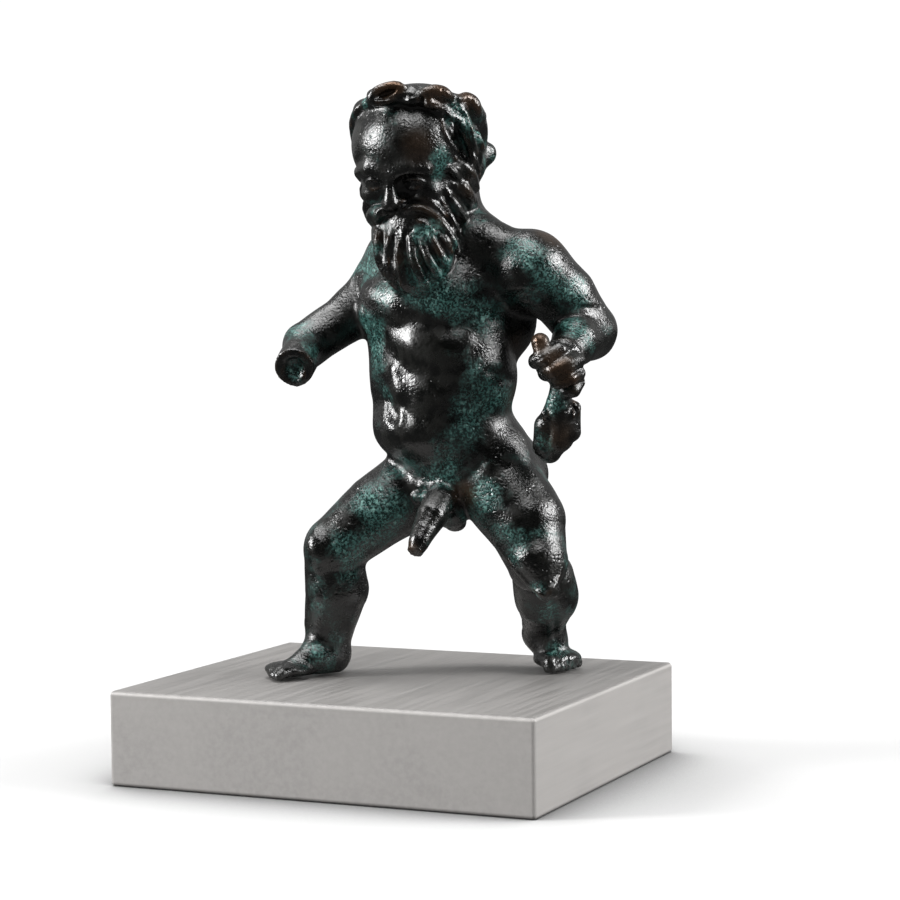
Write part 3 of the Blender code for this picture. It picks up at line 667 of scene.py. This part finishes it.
def carve_hand(clay):
    groove(clay, 0.22, (21.9, 49.9), (23.2, 50.6), (24.5, 51.4), depth=0.9, melt=0.15)
    groove(clay, 0.26, (24.0, 47.5), (26.4, 48.5), (29.1, 49.9))
    groove(clay, 0.26, (24.8, 46.4), (27.5, 47.5), (29.6, 49.0))
    groove(clay, 0.22, (26.4, 45.6), (28.0, 46.2), (29.3, 47.0))
    groove(clay, 0.22, (24.3, 49.0), (26.1, 50.1), (28.0, 51.1), depth=0.6)
    ridge(clay, 0.35, (24.1, 52.8), (26.1, 53.5), (28.0, 53.2), (29.5, 51.7), sink=0.2)


def carve_wineskin(clay):
    groove(clay, 0.32, (23.0, 41.4), (25.1, 41.0), (27.2, 41.5))
    dots(clay, 0.6, (23.0, 42.3), (24.0, 42.0), (25.1, 42.2), (26.1, 41.9), (27.1, 42.3))
    dots(clay, 0.5, (23.5, 43.6), (24.5, 44.3), (25.4, 43.8), (26.4, 44.1), (27.1, 43.5))
    ridge(clay, 1.5, (25.8, 40.9), (26.2, 39.1), (25.6, 36.7), (24.6, 35.1), sink=0.72, melt=0.5)
    groove(clay, 0.42, (24.5, 41.0), (24.6, 39.3), (24.3, 37.0), (23.8, 34.9))
    ridge(clay, 0.7, (28.0, 43.8), (29.0, 43.0), (29.0, 41.4), sink=0.2)
    groove(clay, 0.3, (27.4, 43.5), (27.9, 42.2), (28.0, 40.7))
    dots(clay, 0.9, (22.7, 39.4), (23.2, 37.7), (22.7, 36.4), (23.7, 38.8), sink=0.6)


def carve_loins(clay):
    dots(clay, 0.5, (10.1, 30.7), (10.9, 29.7), (10.0, 28.8), (11.2, 28.3), (10.4, 27.2), (11.7, 26.8),
         (9.5, 29.9))
    groove(clay, 0.4, (9.5, 26.7), (8.8, 25.9), (7.5, 25.5), depth=0.5)
    groove(clay, 0.35, (0.9, 21.5), (1.7, 20.8), (2.7, 20.7), depth=0.4)


def carve_legs(clay):
    groove(clay, 0.9, (-5.5, 17.6), (-8.0, 17.0), (-10.7, 16.6), depth=0.3, melt=1.0)
    ridge(clay, 1.6, (-13.3, 23.6), (-13.8, 22.0), (-13.6, 20.4), sink=0.85, melt=1.0)
    groove(clay, 0.4, (-15.2, 4.5), (-13.3, 5.0), (-11.2, 4.4), depth=0.6, melt=0.5)
    ridge(clay, 0.5, (15.9, 20.8), (18.7, 17.0), (21.2, 14.1), (23.5, 12.4), (24.5, 13.3), (25.8, 15.4),
          (26.7, 17.8), sink=0.3)
    groove(clay, 0.7, (24.6, 11.8), (25.0, 9.4), (25.3, 5.8), depth=0.35, melt=0.8)
    dots(clay, 0.7, (25.0, 4.2), (26.4, 3.6), (27.7, 2.7), (28.8, 2.6), sink=0.5)
    groove(clay, 0.22, (25.9, 2.9), (25.4, 1.0))
    groove(clay, 0.22, (27.2, 2.4), (27.1, 0.6))
    groove(clay, 0.22, (28.3, 2.1), (28.5, 0.8))


def carve(clay):
    carve_torso(clay)
    carve_legs(clay)
    carve_loins(clay)
    carve_stump(clay)
    carve_wineskin(clay)
    carve_hand(clay)
    lumps(clay, 5.0, 0.14, 1)
    lumps(clay, 2.1, 0.06, 2)
    carve_face(clay)
    carve_ear(clay)
    carve_wreath(clay)
    carve_beard(clay)
    carve_hair(clay)
    clay.trim_below(0)


def keep_patina(mesh, clay):
    """Stored for each point, from 0 to 1: hollows, edges and the teal, brown and polished patches."""
    count = len(mesh.vertices)
    points = np.empty(count * 3)
    mesh.vertices.foreach_get("co", points)
    points = points.reshape(-1, 3) * FIGURE_UNITS / FIGURE_HEIGHT
    normals = np.empty(count * 3)
    mesh.vertex_normals.foreach_get("vector", normals)
    normals = normals.reshape(-1, 3)
    near = np.zeros(count)
    far = np.zeros(count)
    edge = np.zeros(count)
    for reach in (0.5, 1.0):
        near += np.clip(1 - sample(clay, points + normals * reach) / reach, 0, 1) / 2
    for reach in (1.8, 3.2):
        far += np.clip(1 - sample(clay, points + normals * reach) / reach, 0, 1) / 2
    for reach in (0.4, 0.8):
        edge += np.clip(1 + sample(clay, points - normals * reach) / reach, 0, 1) / 2
    store(mesh, "near_hollow", near)
    store(mesh, "far_hollow", far)
    store(mesh, "edge", edge)
    ahead = points - VIEWPOINT
    away = np.sum(normals * ahead, axis=1) / np.linalg.norm(ahead, axis=1)
    for name, patches in (("teal", TEAL), ("brown", BROWN), ("smooth", SMOOTH)):
        amount = 0.6 * np.clip(away, 0, 1) if name == "teal" else np.zeros(count)
        for mark, reach, strength in patches:
            far_off = np.linalg.norm(points - seen(clay, [mark])[0], axis=1) / reach
            amount += strength * np.clip(1 - far_off**2 / 2.5, 0, 1)**2
        store(mesh, name, np.clip(amount, 0, 1))


def make_figure():
    clay = sculpt(GRID_STEP)
    carve(clay)
    points, quads = clay.surface()
    mesh = bpy.data.meshes.new("silenus")
    mesh.from_pydata(points * FIGURE_HEIGHT / FIGURE_UNITS, [], quads.tolist())
    figure = bpy.data.objects.new("silenus", mesh)
    bpy.context.scene.collection.objects.link(figure)
    thin = figure.modifiers.new("Fewer faces", "DECIMATE")
    thin.ratio = min(1, FIGURE_TRIANGLES / (2 * len(quads)))
    thinned = bpy.data.meshes.new_from_object(figure.evaluated_get(bpy.context.evaluated_depsgraph_get()))
    figure.modifiers.clear()
    figure.data = thinned
    keep_patina(thinned, clay)
    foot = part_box("silenus_figure")[0].z
    thinned.transform(Matrix.Translation((0, 0, foot)) @ Matrix.Rotation(math.radians(FIGURE_TURN), 4, "Z"))
    thinned.shade_smooth()
    thinned.materials.append(bronze())
    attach(figure, "root")
    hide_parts("silenus_figure")


class Nodes:
    """A material and the short calls that fill its node tree."""

    def __init__(self, name):
        self.made = bpy.data.materials.new(name)
        self.made.use_nodes = True
        self.tree = self.made.node_tree
        self.shader = self.tree.nodes["Principled BSDF"]
        self.place = self.new("ShaderNodeTexCoord").outputs["Object"]

    def new(self, kind, **settings):
        node = self.tree.nodes.new(kind)
        for key, value in settings.items():
            setattr(node, key, value)
        return node

    def set(self, socket, value):
        if isinstance(value, bpy.types.NodeSocket):
            self.tree.links.new(value, socket)
        else:
            socket.default_value = value

    def math(self, kind, *values):
        node = self.new("ShaderNodeMath", operation=kind)
        for socket, value in zip(node.inputs, values):
            self.set(socket, value)
        return node.outputs[0]

    def ramp(self, value, low, high, out_low=0.0, out_high=1.0):
        node = self.new("ShaderNodeMapRange", interpolation_type="SMOOTHSTEP")
        for socket, given in zip(node.inputs, (value, low, high, out_low, out_high)):
            self.set(socket, given)
        return node.outputs[0]

    def blend(self, share, first, second, kind="MIX"):
        node = self.new("ShaderNodeMix", data_type="RGBA", blend_type=kind)
        self.set(node.inputs["Factor"], share)
        self.set(node.inputs["A"], first)
        self.set(node.inputs["B"], second)
        return node.outputs["Result"]

    def spread(self, size, detail=3.0, rough=0.55, place=None):
        """Soft noise whose lumps are about size metres across."""
        node = self.new("ShaderNodeTexNoise")
        self.set(node.inputs["Vector"], place or self.place)
        node.inputs["Scale"].default_value = 1 / size
        node.inputs["Detail"].default_value = detail
        node.inputs["Roughness"].default_value = rough
        return node.outputs["Fac"]

    def cells(self, size):
        """The distance to the nearest of many points scattered about size metres apart."""
        node = self.new("ShaderNodeTexVoronoi")
        self.set(node.inputs["Vector"], self.place)
        node.inputs["Scale"].default_value = 1 / size
        return node.outputs["Distance"]

    def attribute(self, name):
        return self.new("ShaderNodeAttribute", attribute_name=name).outputs["Fac"]

    def bump(self, height, depth, strength=1.0, under=None):
        node = self.new("ShaderNodeBump")
        node.inputs["Strength"].default_value = strength
        node.inputs["Distance"].default_value = depth
        self.set(node.inputs["Height"], height)
        if under is not None:
            self.set(node.inputs["Normal"], under)
        return node.outputs["Normal"]


def colour(red, green, blue):
    return (red, green, blue, 1)


def bronze():
    """Nearly black, glossy patina with grainy turquoise patches and brown, worn high places."""
    n = Nodes("patinated_bronze")
    near, far, edge = n.attribute("near_hollow"), n.attribute("far_hollow"), n.attribute("edge")
    teal, brown, smooth = n.attribute("teal"), n.attribute("brown"), n.attribute("smooth")
    broad = n.spread(0.007, 3)
    middle = n.spread(0.0024, 4)
    fine = n.spread(0.00036, 2)
    speck = n.spread(0.00075, 3)
    dark = n.blend(n.ramp(middle, 0.4, 0.62), colour(0.002, 0.0023, 0.002), colour(0.007, 0.0072, 0.006))
    ground = n.math("MULTIPLY", n.math("SUBTRACT", broad, 0.5), 1.6)
    ground = n.math("ADD", ground, n.math("MULTIPLY", far, 0.3))
    ground = n.math("ADD", ground, n.math("MULTIPLY", teal, 0.85))
    ground = n.math("SUBTRACT", ground, n.math("MULTIPLY", edge, 0.6))
    ground = n.math("SUBTRACT", ground, n.math("MULTIPLY", smooth, 0.8))
    ground = n.math("ADD", ground, n.math("SUBTRACT", middle, 0.5))
    patch = n.ramp(ground, 0.08, 0.75)
    film = n.blend(n.math("MULTIPLY", patch, 0.7), dark, colour(0.006, 0.03, 0.026))
    grain = n.math("MULTIPLY", patch, n.ramp(fine, 0.47, 0.58))
    base = n.blend(n.math("MULTIPLY", grain, 0.85), film, colour(0.048, 0.16, 0.142))
    pale = n.math("MULTIPLY", n.ramp(speck, 0.56, 0.68), n.ramp(ground, 0.15, 0.8))
    base = n.blend(n.math("MULTIPLY", pale, 0.8), base, colour(0.18, 0.36, 0.32))
    worn = n.math("MULTIPLY", n.ramp(edge, 0.16, 0.5), n.math("SUBTRACT", 1, n.ramp(near, 0.05, 0.25)))
    worn = n.math("MULTIPLY", n.math("MULTIPLY", worn, 0.5), n.ramp(n.spread(0.003, 4), 0.45, 0.62))
    worn = n.math("MAXIMUM", worn, n.math("MULTIPLY", brown, n.ramp(middle, 0.3, 0.6, 0.45, 1.0)))
    base = n.blend(n.math("MULTIPLY", worn, 0.9), base, colour(0.10, 0.058, 0.034))
    n.set(n.shader.inputs["Base Color"], base)
    n.set(n.shader.inputs["Metallic"], n.math("MULTIPLY", worn, 0.8))
    rough = n.ramp(middle, 0.35, 0.65, 0.19, 0.32)
    rough = n.math("ADD", rough, n.math("MULTIPLY", grain, 0.2))
    rough = n.math("SUBTRACT", rough, n.math("MULTIPLY", smooth, 0.06))
    n.set(n.shader.inputs["Roughness"], n.math("ADD", rough, n.math("MULTIPLY", near, 0.2)))
    n.shader.inputs["IOR"].default_value = 1.7
    pits = n.math("SUBTRACT", 1, n.ramp(n.cells(0.0010), 0.0, 0.36))
    pits = n.math("MULTIPLY", pits, n.ramp(n.spread(0.004, 2), 0.45, 0.6))
    height = n.math("SUBTRACT", fine, pits)
    height = n.math("MULTIPLY", height, n.math("SUBTRACT", 1, n.math("MULTIPLY", smooth, 0.75)))
    normal = n.bump(height, 0.00012, 0.8)
    normal = n.bump(middle, 0.0004, 0.3, normal)
    n.set(n.shader.inputs["Normal"], normal)
    return n.made


def acrylic():
    """Frosted grey acrylic whose top is brushed from front to back, with painted shade that makes the top
    darker than the sides.
    """
    n = Nodes("frosted_acrylic")
    stretch = n.new("ShaderNodeMapping", vector_type="POINT")
    n.set(stretch.inputs["Vector"], n.place)
    stretch.inputs["Scale"].default_value = (1, 0.04, 1)
    streaks = n.spread(0.0009, 5, 0.6, place=stretch.outputs["Vector"])
    broad = n.spread(0.02, 3)
    facing = n.new("ShaderNodeSeparateXYZ")
    n.set(facing.inputs[0], n.new("ShaderNodeNewGeometry").outputs["Normal"])
    top = n.ramp(facing.outputs["Z"], 0.3, 0.9, 0.3, 1.0)
    streaks = n.math("ADD", n.math("MULTIPLY", n.math("SUBTRACT", streaks, 0.5), top), 0.5)
    base = n.blend(n.ramp(streaks, 0.35, 0.65), colour(0.315, 0.303, 0.293), colour(0.41, 0.395, 0.383))
    base = n.blend(n.ramp(broad, 0.4, 0.6, 0, 0.4), base, colour(0.40, 0.384, 0.37))
    # Painted shade: the base colour on faces that point up is multiplied down to about half, so the top reads
    # darker than the sides.
    base = n.blend(n.ramp(facing.outputs["Z"], 0.5, 0.95, 0, 1), base, colour(0.48, 0.48, 0.48), "MULTIPLY")
    n.set(n.shader.inputs["Base Color"], base)
    n.set(n.shader.inputs["Roughness"], n.ramp(streaks, 0.3, 0.7, 0.38, 0.55))
    normal = n.bump(streaks, 0.00004, 0.5)
    n.set(n.shader.inputs["Normal"], normal)
    return n.made


def make_block():
    """A plain block with softly rounded edges, of the same size as its node."""
    low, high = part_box("base_block")
    mesh = bpy.data.meshes.new("acrylic_block")
    shape = bmesh.new()
    bmesh.ops.create_cube(shape, size=1)
    bmesh.ops.scale(shape, verts=shape.verts, vec=high - low)
    bmesh.ops.translate(shape, verts=shape.verts, vec=(low + high) / 2)
    bmesh.ops.bevel(shape, geom=shape.edges[:], offset=BLOCK_EDGE_RADIUS, segments=6, profile=0.5,
                    affect="EDGES")
    shape.to_mesh(mesh)
    shape.free()
    mesh.shade_smooth()
    mesh.materials.append(acrylic())
    block = bpy.data.objects.new("acrylic_block", mesh)
    bpy.context.scene.collection.objects.link(block)
    flat = block.modifiers.new("Flat faces", "WEIGHTED_NORMAL")
    flat.keep_sharp = True
    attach(block, "root")
    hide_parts("base_block")


def white_floor():
    """White to the camera out to the horizon, with painted shadow beside the block, and dark in reflections.
    """
    n = Nodes("pale_floor")
    tree = n.tree
    tree.nodes.remove(n.shader)
    rays = n.new("ShaderNodeLightPath").outputs["Is Camera Ray"]
    near = n.new("ShaderNodeBsdfDiffuse")
    # Painted shadow: the floor's colour seen by the camera is darkened where the ambient-occlusion node finds
    # the block close by.
    open_sky = n.new("ShaderNodeAmbientOcclusion", samples=12)
    open_sky.inputs["Distance"].default_value = 0.045
    open_share = n.ramp(open_sky.outputs["AO"], 0.3, 1.0)
    n.set(near.inputs["Color"], n.blend(open_share, colour(0.14, 0.14, 0.14), colour(0.465, 0.465, 0.465)))
    dim = n.new("ShaderNodeBsdfDiffuse")
    dim.inputs["Color"].default_value = colour(0.03, 0.03, 0.03)
    glow = n.new("ShaderNodeEmission")
    glow.inputs["Color"].default_value = colour(SEEN_WHITE, SEEN_WHITE, SEEN_WHITE)
    length = n.new("ShaderNodeVectorMath", operation="LENGTH")
    n.set(length.inputs[0], n.place)
    far = n.new("ShaderNodeMixShader")
    n.set(far.inputs[0], n.ramp(length.outputs["Value"], 0.11, 0.22))
    n.set(far.inputs[1], near.outputs[0])
    n.set(far.inputs[2], glow.outputs[0])
    both = n.new("ShaderNodeMixShader")
    n.set(both.inputs[0], rays)
    n.set(both.inputs[1], dim.outputs[0])
    n.set(both.inputs[2], far.outputs[0])
    n.set(tree.nodes["Material Output"].inputs["Surface"], both.outputs[0])
    return n.made


def make_floor():
    mesh = bpy.data.meshes.new("floor")
    mesh.from_pydata([(-9, -9, 0), (9, -9, 0), (9, 9, 0), (-9, 9, 0)], [], [(0, 1, 2, 3)])
    mesh.materials.append(white_floor())
    floor = bpy.data.objects.new("floor", mesh)
    bpy.context.scene.collection.objects.link(floor)


def make_light(name, way, size, radiance):
    """A softbox in the direction way, given to the camera's right, up and towards the camera."""
    turn = bpy.context.scene.camera.matrix_world.to_3x3()
    place = turn @ Vector(way).normalized() * LIGHT_DISTANCE + LIT_POINT
    light = bpy.data.lights.new(name, "AREA")
    light.shape = "RECTANGLE"
    light.size, light.size_y = size
    light.energy = radiance * size[0] * size[1] * math.pi
    lamp = bpy.data.objects.new(name, light)
    lamp.location = place
    lamp.rotation_euler = (LIT_POINT - place).to_track_quat("-Z", "Y").to_euler()
    bpy.context.scene.collection.objects.link(lamp)


def make_studio():
    """A room that is white to the camera and, in the bronze's reflections, dark on the camera's side."""
    world = bpy.data.worlds.new("studio")
    world.use_nodes = True
    tree = world.node_tree
    back = tree.nodes["Background"]
    back.inputs["Color"].default_value = colour(1, 1, 1)
    way = tree.nodes.new("ShaderNodeTexCoord")
    toward = tree.nodes.new("ShaderNodeVectorMath")
    toward.operation = "DOT_PRODUCT"
    toward.inputs[1].default_value = TOWARD_CAMERA
    tree.links.new(way.outputs["Generated"], toward.inputs[0])
    shade = tree.nodes.new("ShaderNodeMapRange")
    shade.interpolation_type = "SMOOTHSTEP"
    tree.links.new(toward.outputs["Value"], shade.inputs["Value"])
    for name, value in (("From Min", -0.6), ("From Max", 0.5), ("To Min", 0.3), ("To Max", 0.01)):
        shade.inputs[name].default_value = value
    rays = tree.nodes.new("ShaderNodeLightPath")
    fill = tree.nodes.new("ShaderNodeMapRange")
    tree.links.new(rays.outputs["Is Diffuse Ray"], fill.inputs["Value"])
    tree.links.new(shade.outputs["Result"], fill.inputs["To Min"])
    fill.inputs["To Max"].default_value = 0.6
    level = tree.nodes.new("ShaderNodeMapRange")
    tree.links.new(rays.outputs["Is Camera Ray"], level.inputs["Value"])
    tree.links.new(fill.outputs["Result"], level.inputs["To Min"])
    level.inputs["To Max"].default_value = SEEN_WHITE
    tree.links.new(level.outputs["Result"], back.inputs["Strength"])
    bpy.context.scene.world = world
    bpy.context.scene.view_settings.view_transform = "Standard"
    make_light("top_light", (-0.1, 0.9, 0.12), (1.1, 0.4), 6.5)
    make_light("left_light", (-0.88, 0.34, 0.16), (0.2, 0.34), 36)
    make_light("right_light", (0.9, 0.38, 0.12), (0.35, 0.35), 19)


def make_camera():
    camera = bpy.data.objects.new("camera", bpy.data.cameras.new("camera"))
    turn = Matrix((CAMERA_RIGHT, CAMERA_UP, -CAMERA_AHEAD)).transposed().to_4x4()
    turn.translation = CAMERA_PLACE
    camera.matrix_world = turn
    camera.data.sensor_width = 36
    camera.data.lens = 102.39
    camera.data.clip_start, camera.data.clip_end = 0.01, 20
    bpy.context.scene.collection.objects.link(camera)
    bpy.context.scene.camera = camera


make_camera()
make_floor()
make_studio()
make_block()
make_figure()
bpy.context.view_layer.update()
